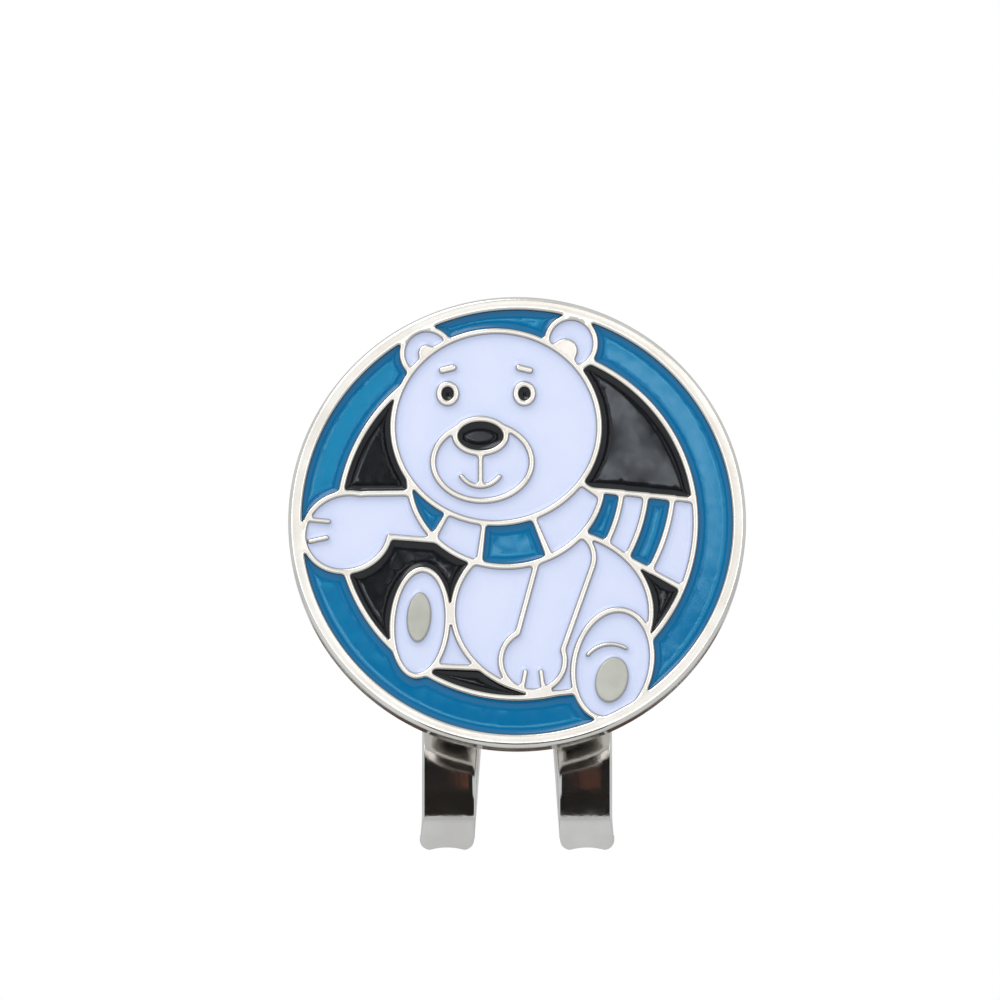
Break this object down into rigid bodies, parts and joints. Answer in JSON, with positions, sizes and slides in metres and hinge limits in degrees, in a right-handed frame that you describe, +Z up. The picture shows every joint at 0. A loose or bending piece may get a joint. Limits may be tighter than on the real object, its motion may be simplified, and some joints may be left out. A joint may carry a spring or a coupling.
{
  "type": "ball marker",
  "caption": "Round enamelled golf ball marker with a plain seated bear, held by a magnet on a U-shaped spring clip for a cap brim.",
  "frame": {"origin": "on the marker's axis, at the flat back of the magnet pocket, the place that bears on a cap's brim", "axes": "+X to the right as the picture is seen, +Y from the picture to the clip's tongues, +Z up, towards the clip's bend; a brim leaves the clip along -Z"},
  "size_m": [0.025, 0.0068, 0.0301],
  "materials": {
    "nickel_plate": "polished nickel plate on struck steel",
    "plated_spring_steel": "polished nickel plate on spring steel",
    "magnet_plate": "bright nickel plate on a sintered magnet",
    "clear_epoxy": "cured clear epoxy",
    "enamel_blue": "baked soft enamel",
    "enamel_white": "baked soft enamel",
    "enamel_black": "baked soft enamel"
  },
  "bodies": {
    "clip": {"clip_seat": "plated_spring_steel", "magnet": "magnet_plate", "magnet_adhesive": "clear_epoxy"},
    "fork": {"clip_fork": "plated_spring_steel"},
    "marker": {"marker_blank": "nickel_plate", "enamel_ears": "enamel_white", "enamel_eyes": "enamel_black", "enamel_ground_bottom": "enamel_black", "enamel_ground_lower_left": "enamel_black", "enamel_ground_lower_right": "enamel_black", "enamel_ground_upper_left": "enamel_black", "enamel_ground_upper_right": "enamel_black", "enamel_head": "enamel_white", "enamel_left_leg": "enamel_white", "enamel_left_sole": "enamel_white", "enamel_lowered_arm": "enamel_white", "enamel_nose": "enamel_black", "enamel_raised_arm": "enamel_white", "enamel_right_sole": "enamel_white", "enamel_ring_bottom": "enamel_blue", "enamel_ring_left": "enamel_blue", "enamel_ring_right": "enamel_blue", "enamel_ring_top": "enamel_blue", "enamel_scarf_band_blue": "enamel_blue", "enamel_scarf_band_white": "enamel_white", "enamel_scarf_tail_blue": "enamel_blue", "enamel_scarf_tail_white": "enamel_white", "enamel_snout": "enamel_white", "enamel_torso": "enamel_white"}
  },
  "joints": [
    {"name": "marker_lift", "type": "slide", "parent": "clip", "child": "marker", "axis": [0, -1, 0], "range_m": [0, 0.012]},
    {"name": "fork_open", "type": "hinge", "parent": "clip", "child": "fork", "pos_m": [0, 0.00265, 0.0085], "axis": [1, 0, 0], "range_deg": [0, 12], "stiffness_Nm_per_rad": 0.1, "springref_deg": -4.58}
  ]
}
